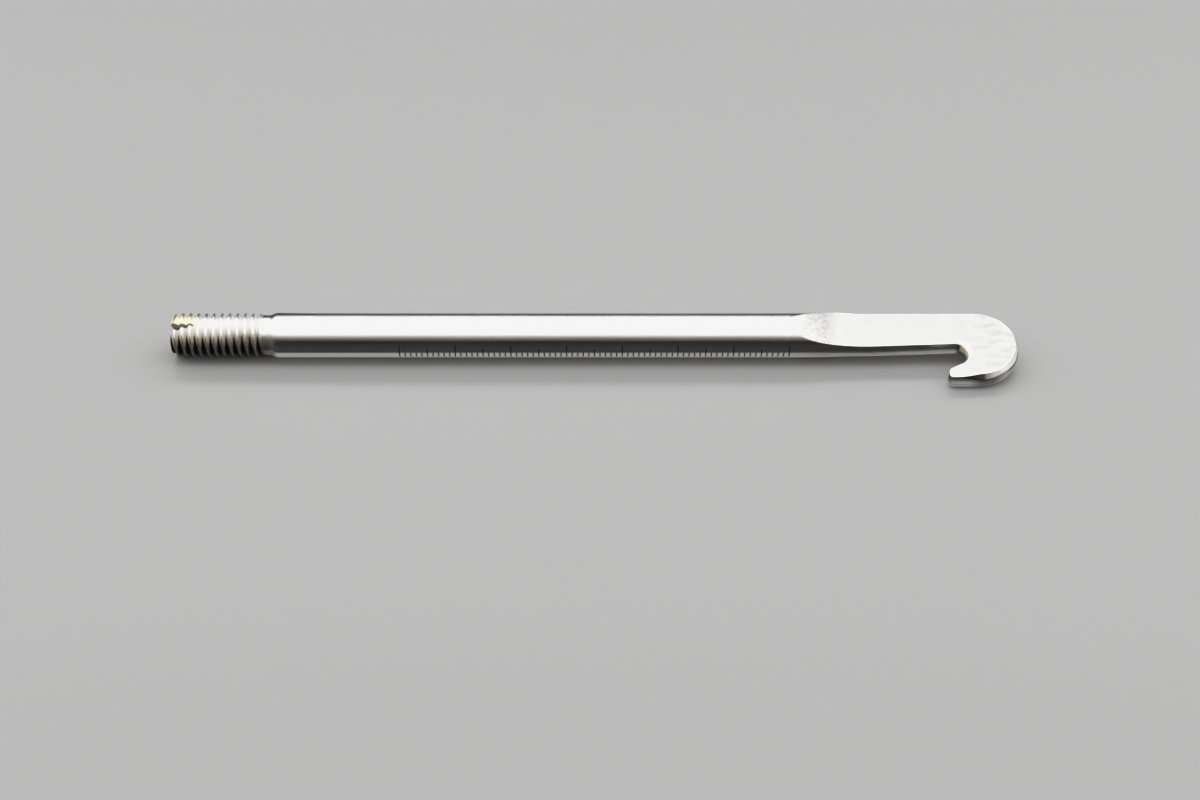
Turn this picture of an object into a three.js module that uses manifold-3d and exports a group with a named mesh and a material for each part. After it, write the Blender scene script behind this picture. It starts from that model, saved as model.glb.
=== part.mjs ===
// Steel hook rod, made from one round bar: a screw-threaded and notched end, a relief neck, a plain
// round shaft, and a flat milled blade that turns back on itself as an open hook.
//
// The rod is modelled about the X axis: x = 0 is the threaded end face, the hook opens towards -Y,
// and Z is across the blade's thickness. It is then rolled until it lies on its shaft and on the
// hook's finger, as it would on a table. All sizes are in millimetres.

import * as THREE from 'three';
import { mergeVertices } from 'three/addons/utils/BufferGeometryUtils.js';
import Module from 'manifold-3d';

// ---- driving dimensions ------------------------------------------------------------------------

const OVERALL_LENGTH = 152;
const SHAFT_RADIUS = 4;

// Threaded end, right-hand.
const THREAD_PITCH = 1.41;
const THREAD_CREST_RADIUS = 3.9;
const THREAD_ROOT_RADIUS = 2.95;
const THREAD_LENGTH = 16.2;
const THREAD_LEAD_IN = 0.7;
const CREST_FLAT = THREAD_PITCH / 8;
const ROOT_FLAT = THREAD_PITCH / 6;

// Notch cut across the threaded end face: a half V with one wall along the rod and one slanted wall,
// meeting in a rounded bottom. The walls' places are measured from the rod's axis.
const NOTCH_DEPTH = 4.1;
const NOTCH_STRAIGHT_WALL = 1;
const NOTCH_SLANTED_WALL = -0.5;
const NOTCH_BOTTOM_RADIUS = 0.2;
const NOTCH_TURN = THREE.MathUtils.degToRad(20);

// Relief neck behind the thread, and the cone that leads up to the shaft.
const NECK_RADIUS = 3.58;
const NECK_LENGTH = 1.3;
const CONE_LENGTH = 1.4;

// Blade: two flats, each running out into the round shaft through a scoop.
const BLADE_THICKNESS = 2.9;
const SCOOP_RADIUS = 37.5;
const SCOOP_TANGENT_X = 124.4;

// The blade's hook-side edge tapers slightly towards the hook, and keeps the shaft's round edge.
const TAPER_START_X = 126.5;
const TAPER_END_EDGE_Y = -3.17;
const TAPER_RUN_OUT = 3;

// Hook: a half-round back, a straight finger, and a round throat that opens along a slanted edge.
const HOOK_REACH = 10.9;
const HOOK_RADIUS = (SHAFT_RADIUS + HOOK_REACH) / 2;
const HOOK_CENTRE_X = OVERALL_LENGTH - HOOK_RADIUS;
const HOOK_CENTRE_Y = SHAFT_RADIUS - HOOK_RADIUS;
const THROAT_RADIUS = 2.3;
const THROAT_CENTRE_X = 140.5;
const THROAT_CENTRE_Y = TAPER_END_EDGE_Y - THROAT_RADIUS;
const THROAT_SLANT = THREE.MathUtils.degToRad(27);
const FINGER_END_X = 139.06;
const FINGER_INNER_CORNER = 1.2;
const FINGER_OUTER_CORNER = 0.9;

// Facets.
const ROUND_SEGMENTS = 64;
const THREAD_SEGMENTS = 32;
const ARC_SEGMENTS = 20;

// How far cutters and hidden ends run past the metal.
const MARGIN = 2;

// ---- booleans ----------------------------------------------------------------------------------

const wasm = await Module();
wasm.setup();

function toSolid(geometry) {
  geometry.deleteAttribute('normal');
  geometry.deleteAttribute('uv');
  const merged = mergeVertices(geometry);
  return new wasm.Manifold(new wasm.Mesh({
    numProp: 3,
    vertProperties: merged.getAttribute('position').array,
    triVerts: Uint32Array.from(merged.index.array),
  }));
}

function toGeometry(solid) {
  const { vertProperties, triVerts } = solid.getMesh();
  const geometry = new THREE.BufferGeometry();
  geometry.setAttribute('position', new THREE.BufferAttribute(vertProperties, 3));
  geometry.setIndex(new THREE.BufferAttribute(triVerts, 1));
  geometry.computeVertexNormals();
  return geometry;
}

// ---- building blocks ---------------------------------------------------------------------------

// A solid turned about the X axis. The profile is a list of [x, radius] from left to right.
function turned(profile) {
  const points = profile.map(([x, radius]) => new THREE.Vector2(radius, x));
  const geometry = new THREE.LatheGeometry(points, ROUND_SEGMENTS);
  geometry.rotateZ(-Math.PI / 2);
  return toSolid(geometry);
}

// A prism with its outline in the XY plane, centred on z = 0.
function prism(outline, height) {
  const geometry = new THREE.ExtrudeGeometry(outline, {
    depth: height,
    bevelEnabled: false,
    curveSegments: ARC_SEGMENTS,
  });
  geometry.translate(0, 0, -height / 2);
  return geometry;
}

// ---- threaded end ------------------------------------------------------------------------------

// The endless thread as a grid that follows the helix: each step along it holds one profile of
// root and crest corners, and one turn later the next profile begins where this one ends.
function helicalRod() {
  const flank = (THREAD_PITCH - CREST_FLAT - ROOT_FLAT) / 2;
  const profile = [
    [0, THREAD_ROOT_RADIUS],
    [ROOT_FLAT, THREAD_ROOT_RADIUS],
    [ROOT_FLAT + flank, THREAD_CREST_RADIUS],
    [ROOT_FLAT + flank + CREST_FLAT, THREAD_CREST_RADIUS],
  ];
  const corners = profile.length;
  const startX = -2 * THREAD_PITCH;
  const turns = Math.ceil((THREAD_LENGTH + THREAD_CREST_RADIUS - startX) / THREAD_PITCH);
  const steps = turns * THREAD_SEGMENTS;

  const vertices = [];
  for (let step = 0; step <= steps + THREAD_SEGMENTS; step += 1) {
    const angle = (2 * Math.PI * step) / THREAD_SEGMENTS;
    for (const [along, radius] of profile) {
      const x = startX + (THREAD_PITCH * step) / THREAD_SEGMENTS + along;
      vertices.push(x, radius * Math.cos(angle), radius * Math.sin(angle));
    }
  }

  const corner = (step, index) => (
    index < corners ? step * corners + index : (step + THREAD_SEGMENTS) * corners
  );
  const triangles = [];
  for (let step = 0; step < steps; step += 1) {
    for (let index = 0; index < corners; index += 1) {
      const [a, b] = [corner(step, index), corner(step, index + 1)];
      const [c, d] = [corner(step + 1, index + 1), corner(step + 1, index)];
      triangles.push(a, c, b, a, d, c);
    }
  }

  // Each end is closed by a fan from the axis round one turn of the helix and one profile.
  const closeEnd = (firstStep, outwardSign) => {
    const rim = [];
    for (let index = 0; index < corners; index += 1) {
      rim.push(corner(firstStep, index));
    }
    for (let step = firstStep + THREAD_SEGMENTS; step > firstStep; step -= 1) {
      rim.push(corner(step, 0));
    }
    const hub = vertices.length / 3;
    const hubX = startX + THREAD_PITCH * (firstStep / THREAD_SEGMENTS + 0.5);
    vertices.push(hubX, 0, 0);
    rim.forEach((from, index) => {
      const to = rim[(index + 1) % rim.length];
      triangles.push(hub, ...(outwardSign > 0 ? [to, from] : [from, to]));
    });
  };
  closeEnd(0, -1);
  closeEnd(steps, 1);

  const geometry = new THREE.BufferGeometry();
  geometry.setAttribute('position', new THREE.Float32BufferAttribute(vertices, 3));
  geometry.setIndex(triangles);
  return toSolid(geometry);
}

// The crests start behind a 45 degree lead-in and run out at 45 degrees down to the neck.
function threadedEnd() {
  const runOutX = THREAD_LENGTH - (THREAD_CREST_RADIUS - NECK_RADIUS);
  const envelope = turned([
    [0, 0],
    [0, THREAD_CREST_RADIUS - THREAD_LEAD_IN],
    [THREAD_LEAD_IN, THREAD_CREST_RADIUS],
    [runOutX, THREAD_CREST_RADIUS],
    [runOutX + THREAD_CREST_RADIUS, 0],
  ]);
  return helicalRod().intersect(envelope);
}

function endNotch() {
  const bottomX = NOTCH_DEPTH - NOTCH_BOTTOM_RADIUS;
  const bottomY = NOTCH_STRAIGHT_WALL - NOTCH_BOTTOM_RADIUS;
  const slope = (bottomY - NOTCH_BOTTOM_RADIUS - NOTCH_SLANTED_WALL) / bottomX;
  const outline = new THREE.Shape();
  outline.moveTo(-MARGIN, NOTCH_SLANTED_WALL - slope * MARGIN);
  outline.lineTo(bottomX, bottomY - NOTCH_BOTTOM_RADIUS);
  outline.absarc(bottomX, bottomY, NOTCH_BOTTOM_RADIUS, -Math.PI / 2, Math.PI / 2, false);
  outline.lineTo(-MARGIN, NOTCH_STRAIGHT_WALL);
  outline.closePath();
  const geometry = prism(outline, 2 * (THREAD_CREST_RADIUS + MARGIN));
  geometry.rotateX(NOTCH_TURN);
  return toSolid(geometry);
}

// ---- shaft, blade and hook ---------------------------------------------------------------------

function shaft() {
  const neckEndX = THREAD_LENGTH + NECK_LENGTH;
  return turned([
    [THREAD_LENGTH, 0],
    [THREAD_LENGTH, NECK_RADIUS],
    [neckEndX, NECK_RADIUS],
    [neckEndX + CONE_LENGTH, SHAFT_RADIUS],
    [HOOK_CENTRE_X, SHAFT_RADIUS],
    [HOOK_CENTRE_X, 0],
  ]);
}

// The hook's half-round back keeps the shaft's round edge: a disc whose rim has the shaft's radius.
function hookBack() {
  const rimCentre = HOOK_RADIUS - SHAFT_RADIUS;
  const halfHeight = SHAFT_RADIUS - MARGIN;
  const reach = Math.asin(halfHeight / SHAFT_RADIUS);
  const profile = [new THREE.Vector2(0, -halfHeight)];
  for (let step = 0; step <= ARC_SEGMENTS; step += 1) {
    const angle = reach * ((2 * step) / ARC_SEGMENTS - 1);
    profile.push(new THREE.Vector2(
      rimCentre + SHAFT_RADIUS * Math.cos(angle),
      SHAFT_RADIUS * Math.sin(angle),
    ));
  }
  profile.push(new THREE.Vector2(0, halfHeight));
  const geometry = new THREE.LatheGeometry(profile, ROUND_SEGMENTS);
  geometry.rotateX(Math.PI / 2);
  geometry.translate(HOOK_CENTRE_X, HOOK_CENTRE_Y, 0);
  return toSolid(geometry);
}

// The finger runs back beside the shaft, with the same round outer edge.
function finger() {
  const bar = turned([
    [FINGER_END_X - MARGIN, 0],
    [FINGER_END_X - MARGIN, SHAFT_RADIUS],
    [HOOK_CENTRE_X, SHAFT_RADIUS],
    [HOOK_CENTRE_X, 0],
  ]);
  return bar.translate([0, SHAFT_RADIUS - HOOK_REACH, 0]);
}

// The blade's hook side is the side of a bar like the shaft, slewed so that it runs in to the throat.
// Its bulge runs out just before the throat, which has a straight wall.
function taperedSide() {
  const edgeY = -Math.sqrt(SHAFT_RADIUS ** 2 - (BLADE_THICKNESS / 2) ** 2);
  const bulge = SHAFT_RADIUS + edgeY;
  const length = THROAT_CENTRE_X - TAPER_START_X;
  const bar = turned([
    [-length, 0],
    [-length, SHAFT_RADIUS],
    [length - TAPER_RUN_OUT, SHAFT_RADIUS],
    [length, SHAFT_RADIUS - bulge],
    [length, 0],
  ]);
  const slew = Math.atan2(TAPER_END_EDGE_Y - edgeY, length);
  return bar.rotate([0, 0, THREE.MathUtils.radToDeg(slew)]).translate([TAPER_START_X, 0, 0]);
}

// Everything on the hook side that isn't blade or finger: it runs along the tapered side, round the
// throat, along the finger's slanted inner edge and round the finger's end.
function throatCutter() {
  const outerCornerX = FINGER_END_X + FINGER_OUTER_CORNER;
  const outerCornerY = FINGER_OUTER_CORNER - HOOK_REACH;
  const throatEnd = THROAT_SLANT - Math.PI / 2;
  const slantStartX = THROAT_CENTRE_X + THROAT_RADIUS * Math.cos(throatEnd);
  const slantStartY = THROAT_CENTRE_Y + THROAT_RADIUS * Math.sin(throatEnd);
  const innerCornerX = FINGER_END_X + FINGER_INNER_CORNER;
  const cornerEdgeX = innerCornerX - FINGER_INNER_CORNER * Math.sin(THROAT_SLANT);
  const cornerEdgeY = slantStartY - (slantStartX - cornerEdgeX) * Math.tan(THROAT_SLANT);
  const innerCornerY = cornerEdgeY - FINGER_INNER_CORNER * Math.cos(THROAT_SLANT);

  const outline = new THREE.Shape();
  outline.moveTo(TAPER_START_X, TAPER_END_EDGE_Y);
  outline.lineTo(TAPER_START_X, -HOOK_REACH - MARGIN);
  outline.lineTo(outerCornerX, -HOOK_REACH - MARGIN);
  outline.lineTo(outerCornerX, -HOOK_REACH);
  outline.absarc(outerCornerX, outerCornerY, FINGER_OUTER_CORNER, -Math.PI / 2, Math.PI, true);
  outline.absarc(
    innerCornerX, innerCornerY, FINGER_INNER_CORNER, Math.PI, Math.PI / 2 + THROAT_SLANT, true,
  );
  outline.absarc(THROAT_CENTRE_X, THROAT_CENTRE_Y, THROAT_RADIUS, throatEnd, Math.PI / 2, false);
  outline.closePath();
  return toSolid(prism(outline, 2 * (SHAFT_RADIUS + MARGIN))).subtract(taperedSide());
}

// The metal milled off above the blade: a flat that curves up through the scoop to the shaft's top.
function scoopCutter() {
  const flatZ = BLADE_THICKNESS / 2;
  const topZ = SHAFT_RADIUS + MARGIN;
  const endX = OVERALL_LENGTH + MARGIN;
  const scoopAngle = Math.acos(1 - (topZ - flatZ) / SCOOP_RADIUS);
  const straightDown = -Math.PI / 2;

  const outline = new THREE.Shape();
  outline.moveTo(endX, flatZ);
  outline.lineTo(endX, topZ);
  outline.absarc(
    SCOOP_TANGENT_X, flatZ + SCOOP_RADIUS, SCOOP_RADIUS, straightDown - scoopAngle, straightDown, false,
  );
  outline.closePath();
  const geometry = prism(outline, 4 * HOOK_REACH);
  geometry.rotateX(Math.PI / 2);
  return toSolid(geometry);
}

function hookRod() {
  const topScoop = scoopCutter();
  const underScoop = topScoop.rotate([180, 0, 0]);
  return shaft()
    .add(hookBack())
    .add(finger())
    .subtract(throatCutter())
    .subtract(topScoop)
    .subtract(underScoop)
    .add(threadedEnd())
    .subtract(endNotch());
}

// ---- the part, lying at rest -------------------------------------------------------------------

// Rolled towards its hook side until the finger's lower outer edge is as low as the shaft.
function restingRoll() {
  const halfBlade = BLADE_THICKNESS / 2;
  const fingerEdge = HOOK_REACH - SHAFT_RADIUS + Math.sqrt(SHAFT_RADIUS ** 2 - halfBlade ** 2);
  return Math.asin(SHAFT_RADIUS / Math.hypot(fingerEdge, halfBlade)) - Math.atan2(halfBlade, fingerEdge);
}

const polishedSteel = new THREE.MeshStandardMaterial({
  name: 'polished_steel',
  color: 0xc9c8c4,
  roughness: 0.28,
  metalness: 1,
});

const hookRodMesh = new THREE.Mesh(toGeometry(hookRod()), polishedSteel);
hookRodMesh.name = 'hook_rod';
hookRodMesh.rotation.x = restingRoll();
hookRodMesh.updateMatrixWorld();

// The origin is under the middle of the part's box, on the surface that it lies on.
const restingBox = new THREE.Box3().setFromObject(hookRodMesh, true);
const middle = restingBox.getCenter(new THREE.Vector3());
hookRodMesh.position.set(-middle.x, -middle.y, -restingBox.min.z);

const part = new THREE.Group();
part.add(hookRodMesh);

export default part;
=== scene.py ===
"""Looks for the hook rod: one fine mesh that stands for the CAD solid, its steel, and the stage.

The rod's surface is one loft. Every section is a closed loop with the same number of points, from the
threaded end face, along the thread, neck and shaft, through the milled scoops into the blade, and then
across the blade's ribbon as it turns round the hook to the finger's tip.

Sizes are in millimetres in the rod's own frame: x from the threaded end face, y across the rod with the
hook towards -y, z across the blade's thickness. The finished mesh is rolled and set down in metres.
The stage, which is the floor, the lights and the camera, is in metres throughout.
"""

import math
from types import SimpleNamespace

import bmesh
import bpy
import numpy as np
from mathutils import Matrix, Vector, noise


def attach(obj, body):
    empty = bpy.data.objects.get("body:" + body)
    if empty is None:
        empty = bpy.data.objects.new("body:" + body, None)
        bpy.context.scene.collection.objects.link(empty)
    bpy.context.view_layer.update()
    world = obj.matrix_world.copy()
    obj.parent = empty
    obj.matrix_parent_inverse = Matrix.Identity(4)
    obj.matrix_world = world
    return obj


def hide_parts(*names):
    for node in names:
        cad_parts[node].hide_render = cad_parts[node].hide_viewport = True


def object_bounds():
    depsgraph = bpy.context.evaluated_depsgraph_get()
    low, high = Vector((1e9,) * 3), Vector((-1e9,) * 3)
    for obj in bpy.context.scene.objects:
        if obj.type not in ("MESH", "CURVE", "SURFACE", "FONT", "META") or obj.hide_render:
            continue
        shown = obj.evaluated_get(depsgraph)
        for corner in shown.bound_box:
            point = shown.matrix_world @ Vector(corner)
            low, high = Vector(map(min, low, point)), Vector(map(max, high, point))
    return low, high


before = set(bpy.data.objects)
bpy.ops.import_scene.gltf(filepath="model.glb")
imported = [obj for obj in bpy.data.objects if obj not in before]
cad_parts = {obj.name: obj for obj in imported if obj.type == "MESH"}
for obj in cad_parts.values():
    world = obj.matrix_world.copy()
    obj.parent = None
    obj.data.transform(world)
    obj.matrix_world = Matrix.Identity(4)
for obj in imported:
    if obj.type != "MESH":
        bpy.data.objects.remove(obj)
cad_low, cad_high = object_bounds()

MM = 0.001

# ---- driving dimensions, in millimetres --------------------------------------------------------

SHAFT_RADIUS = 4.0

THREAD_PITCH = 1.41
THREAD_CREST_RADIUS = 3.9
THREAD_ROOT_RADIUS = 2.95
THREAD_PITCH_RADIUS = 3.48
THREAD_LENGTH = 16.2
THREAD_LEAD_IN = 0.7
THREAD_PHASE = 0.3
THREAD_ROOT_ROUNDING = 0.14
THREAD_CREST_ROUNDING = 0.1
THREAD_CREST_WEAR = 0.05
THREAD_RUN_OUT_SLOPE = 1.5
THREAD_RUN_OUT_ROUNDING = 0.12
FLANK_SLOPE = math.tan(math.radians(60))

NOTCH_DEPTH = 4.1
NOTCH_STRAIGHT_WALL = 1.0
NOTCH_SLANTED_WALL = -0.5
NOTCH_BOTTOM_RADIUS = 0.2
NOTCH_TURN = math.radians(20)

NECK_RADIUS = 3.58
NECK_LENGTH = 1.3
CONE_LENGTH = 1.4

HALF_BLADE = 1.45
SCOOP_RADIUS = 37.5
SCOOP_TANGENT_X = 124.4
SCOOP_LAG = 2.0
SCOOP_LEAD = 1.5
TAPER_START_X = 126.5
TAPER_START_WIDTH = 3.73
TAPER_END_WIDTH = 3.17
BLADE_BACK_BULGE = 9.0
BLADE_BACK_TUCK = 0.14
BACK_FLATTENS_X = 117.0
BACK_FLATTENS_OVER = 8.0
BACK_ROUNDS_OVER = 10.0

HOOK_REACH = 10.9
THROAT_RADIUS = 2.3
THROAT_X = 140.5
THROAT_Y = -TAPER_END_WIDTH - THROAT_RADIUS
THROAT_SLANT = math.radians(27)
FINGER_END_X = 139.06
FINGER_INNER_CORNER = 1.2
FINGER_OUTER_CORNER = 0.9
EDGE_RADIUS = 0.12

# The throat's upper edge is rounded more than the rest, between these distances along its arc. The bar's
# round side flattens out over the arc's first stretch.
THROAT_EDGE_RADIUS = 0.85
THROAT_EDGE_START = 0.3
THROAT_EDGE_END = 3.7
THROAT_EDGE_FADE = 1.4
THROAT_FLATTENS_OVER = 2.0

# The bevel ground round the hook's outer top edge. Each row is a place along the edge, how much of the
# flat it takes, and how far down the wall it reaches. Places on the finger are x, and those round the
# bend are degrees, from 90 at the finger to -90 at the back edge.
FINGER_BEVEL = ((140.2, 0.0, 0.0), (141.9, 0.1, 0.3), (143.5, 0.42, 0.6), (144.55, 0.7, 0.66))
BEND_BEVEL = (
    (-60, 0.0, 0.0), (-24, 0.08, 0.08), (0, 0.25, 0.2), (12, 0.45, 0.3), (29, 0.75, 0.4),
    (45, 0.88, 0.35), (59, 0.93, 0.38), (74, 0.82, 0.52), (90, 0.7, 0.66),
)

# The bevel's corners are broken by BEVEL_CORNER. Where it fades out it keeps at least LEAST_BEVEL each
# way, and it has fully replaced the rounded edge where its two measures add up to FULL_BEVEL.
BEVEL_CORNER = 0.035
LEAST_BEVEL = 0.05
FULL_BEVEL = 0.3

# ---- values worked out from them ---------------------------------------------------------------

OVERALL_LENGTH = (cad_high.x - cad_low.x) / MM
CONE_START_X = THREAD_LENGTH + NECK_LENGTH
SHAFT_START_X = CONE_START_X + CONE_LENGTH
SCOOP_TIP_X = SCOOP_TANGENT_X - math.sqrt(
    SCOOP_RADIUS**2 - (SCOOP_RADIUS - (SHAFT_RADIUS - HALF_BLADE)) ** 2
)
HOOK_RADIUS = (SHAFT_RADIUS + HOOK_REACH) / 2
HOOK_X = OVERALL_LENGTH - HOOK_RADIUS
HOOK_Y = SHAFT_RADIUS - HOOK_RADIUS
TAPER = (TAPER_START_WIDTH - TAPER_END_WIDTH) / (THROAT_X - TAPER_START_X)

# ---- how finely the surface is divided ---------------------------------------------------------

# Steps of each section: up a wall, across a flat, round a wall's edge, and all the way round.
WALL = 46
CROWN = 26
EDGE = 7
LOOP = 2 * (WALL + CROWN)

# Rows of sections along the rod. The end face has rings of these shares of its radius. RIBBON_ROWS go
# from RIBBON_START_X round the hook, with one number for each stretch between the matched stops.
END_FACE_RINGS = (0.15, 0.4, 0.65, 0.85, 0.97)
ROWS_PER_PITCH = 20
NECK_ROWS = 24
SHAFT_ROWS = 80
SCOOP_ROWS = 48
BLADE_ROWS = 12
RIBBON_START_X = 137.0
RIBBON_ROWS = (10, 60, 14, 18)

NOTCH_BOTTOM_POINTS = 9
NOTCH_CUTTER_MARGIN = 2.0
MERGE_DISTANCE = 1e-4
LEAST_EDGE = 1e-5
SHARP_ANGLE = math.radians(50)

# A wall that bulges to this radius counts as flat.
NEARLY_FLAT = 400.0


# ---- sections of the straight rod --------------------------------------------------------------

def even_angles():
    """Angles from +y towards +z round the loop, evenly spaced: back wall, top, hook side, underside."""
    first = -math.pi * WALL / LOOP
    return first + 2 * math.pi * np.arange(LOOP) / LOOP


def scoop_tip_angles():
    """The loop where the scoops begin: the top and underside have shrunk to one point each. The
    angles are counted in half turns first."""
    side = np.concatenate([
        np.full(EDGE, -0.5),
        np.linspace(-0.5, 0.5, WALL - 2 * EDGE + 1),
        np.full(EDGE, 0.5),
    ])
    back = side[:-1]
    top = np.full(CROWN, 0.5)
    near = 1 + side[:-1]
    under = np.full(CROWN, 1.5)
    return math.pi * np.concatenate([back, top, near, under])


def smooth_step(t):
    """0 up to t = 0, 1 from t = 1, and an eased change between them."""
    t = np.clip(t, 0, 1)
    return t * t * (3 - 2 * t)


def smooth_min(a, b, blend):
    """The smaller of a and b, rounded off where they come within `blend` of each other."""
    share = np.clip(0.5 + 0.5 * (b - a) / blend, 0, 1)
    return b + (a - b) * share - blend * share * (1 - share)


def smooth_max(a, b, blend):
    return -smooth_min(-a, -b, blend)


def round_section(x, radius, angles):
    radius = np.broadcast_to(radius, angles.shape)
    return np.stack([np.full(LOOP, x), radius * np.cos(angles), radius * np.sin(angles)], axis=1)


def patchy_wear(x, angles):
    """How worn the crests are, from 0 to 1, in patches along the thread and round it."""
    along, around = 1.1, 2.2
    places = [Vector((along * x, around * math.cos(angle), around * math.sin(angle))) for angle in angles]
    return np.clip([noise.noise(place) for place in places], 0, 1)


def thread_radius(x, angles):
    """Radius of the right-hand thread: a 60-degree form, with rounded roots and slightly worn crests.

    The crests are chamfered at both ends, and the grooves run out into the neck.
    """
    turn = (x / THREAD_PITCH - angles / (2 * math.pi) + THREAD_PHASE) % 1.0
    from_crest = np.abs(turn - 0.5) * THREAD_PITCH
    radius = THREAD_PITCH_RADIUS - (from_crest - THREAD_PITCH / 4) * FLANK_SLOPE
    radius = smooth_max(radius, THREAD_ROOT_RADIUS, THREAD_ROOT_ROUNDING)
    crest = THREAD_CREST_RADIUS - THREAD_CREST_WEAR * patchy_wear(x, angles)
    crest = np.minimum(crest, THREAD_CREST_RADIUS - THREAD_LEAD_IN + x)
    crest = np.minimum(crest, NECK_RADIUS + THREAD_LENGTH - x)
    radius = smooth_min(radius, crest, THREAD_CREST_ROUNDING)
    run_out = NECK_RADIUS - THREAD_RUN_OUT_SLOPE * (THREAD_LENGTH - x)
    return smooth_max(radius, np.full(LOOP, run_out), THREAD_RUN_OUT_ROUNDING)


def neck_radius(x):
    """The straight relief neck and the eased cone up to the shaft."""
    return NECK_RADIUS + (SHAFT_RADIUS - NECK_RADIUS) * smooth_step((x - CONE_START_X) / CONE_LENGTH)


def flat_height(x):
    """Half the height left between the upper and lower scoops at x."""
    before = max(0.0, SCOOP_TANGENT_X - x)
    return HALF_BLADE + SCOOP_RADIUS - math.sqrt(SCOOP_RADIUS**2 - before**2)


def edge_centre(half_height, bulge, edge):
    """Reach and turn of the centre of a rounded edge that meets both the bulging wall and the flat."""
    reach = math.sqrt(max(0.0, (bulge - edge) ** 2 - (half_height - edge) ** 2))
    return reach, math.atan2(half_height - edge, reach)


def wall_profile(half_height, bulge, top_edge, bottom_edge):
    """(reach, z) up one side wall: a side bulging to the radius `bulge`, between two rounded edges.

    reach is the distance out from the bulge's centre.
    """
    top_reach, top_turn = edge_centre(half_height, bulge, top_edge)
    bottom_reach, bottom_turn = edge_centre(half_height, bulge, bottom_edge)
    low = np.linspace(-math.pi / 2, -bottom_turn, EDGE + 1)
    side = np.linspace(-bottom_turn, top_turn, WALL - 2 * EDGE + 1)
    high = np.linspace(top_turn, math.pi / 2, EDGE + 1)
    reach = np.concatenate([
        bottom_reach + bottom_edge * np.cos(low[:-1]),
        bulge * np.cos(side),
        top_reach + top_edge * np.cos(high[1:]),
    ])
    z = np.concatenate([
        bottom_edge - half_height + bottom_edge * np.sin(low[:-1]),
        bulge * np.sin(side),
        half_height - top_edge + top_edge * np.sin(high[1:]),
    ])
    return reach, z


def bevelled_profile(bulge, take, drop):
    """A wall profile whose top edge is ground flat: `take` off the flat and `drop` off the wall."""
    reach, z = wall_profile(HALF_BLADE, bulge, EDGE_RADIUS, EDGE_RADIUS)
    foot_z = HALF_BLADE - drop
    foot = np.array([bulge * math.cos(math.asin(foot_z / bulge)), foot_z])
    head = np.array([bulge * math.cos(math.asin(HALF_BLADE / bulge)) - take, HALF_BLADE])
    width = np.linalg.norm(head - foot)
    steps = np.linspace(BEVEL_CORNER, width - BEVEL_CORNER, EDGE - 1)
    face = foot + steps[:, None] * (head - foot) / width
    bottom_turn = edge_centre(HALF_BLADE, bulge, EDGE_RADIUS)[1]
    top_turn = math.asin((foot_z - BEVEL_CORNER) / bulge)
    turns = np.linspace(-bottom_turn, top_turn, WALL - 2 * EDGE + 1)
    side, ground = slice(EDGE, WALL - EDGE + 1), slice(WALL - EDGE + 1, WALL)
    reach[side], z[side] = bulge * np.cos(turns), bulge * np.sin(turns)
    reach[ground], z[ground] = face[:, 0], face[:, 1]
    reach[WALL], z[WALL] = head[0] - BEVEL_CORNER, HALF_BLADE
    return reach, z


def loop_from_walls(outer, inner):
    """A closed loop from two wall columns, each listed from bottom to top, and the flats between."""
    share = np.linspace(0, 1, CROWN + 1)[:-1, None]
    top = outer[-1] + share * (inner[-1] - outer[-1])
    under = inner[0] + share * (outer[0] - inner[0])
    return np.concatenate([outer[:-1], top, inner[::-1][:-1], under])


def back_edge(share):
    """(bulge radius, tuck) of the back edge, from 0, the shaft's round side, to 1, the blade's flatter
    back, which is tucked in so that its lower corner stays inside the shaft's reach."""
    return SHAFT_RADIUS + share * (BLADE_BACK_BULGE - SHAFT_RADIUS), share * BLADE_BACK_TUCK


def milled_section(x):
    """The round bar milled flat above and below, with its hook side shifted in along the taper.

    The scoops are cut a little askew: they run out later at the back than on the hook side.
    """
    share = np.clip((x - SCOOP_TIP_X) / (SCOOP_TANGENT_X - SCOOP_TIP_X), 0, 1)
    midway = 4 * share * (1 - share)
    lag = SCOOP_LAG * midway
    lead = SCOOP_LEAD * midway * (1 - share)
    bulge, tuck = back_edge(smooth_step((x - BACK_FLATTENS_X) / BACK_FLATTENS_OVER))
    reach, z = wall_profile(flat_height(x - lag), bulge, EDGE_RADIUS, EDGE_RADIUS)
    back = SHAFT_RADIUS - tuck - bulge + reach
    near, near_z = wall_profile(flat_height(x + lead), SHAFT_RADIUS, EDGE_RADIUS, EDGE_RADIUS)
    width = TAPER_START_WIDTH - TAPER * (x - TAPER_START_X)
    near = near - max(0.0, near[0] - (width - EDGE_RADIUS))
    column_x = np.full(WALL + 1, x)
    back_wall = np.stack([column_x, back, z], axis=1)
    near_wall = np.stack([column_x, -near, near_z], axis=1)
    return loop_from_walls(back_wall, near_wall)


# ---- sections across the hook's ribbon ---------------------------------------------------------

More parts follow.
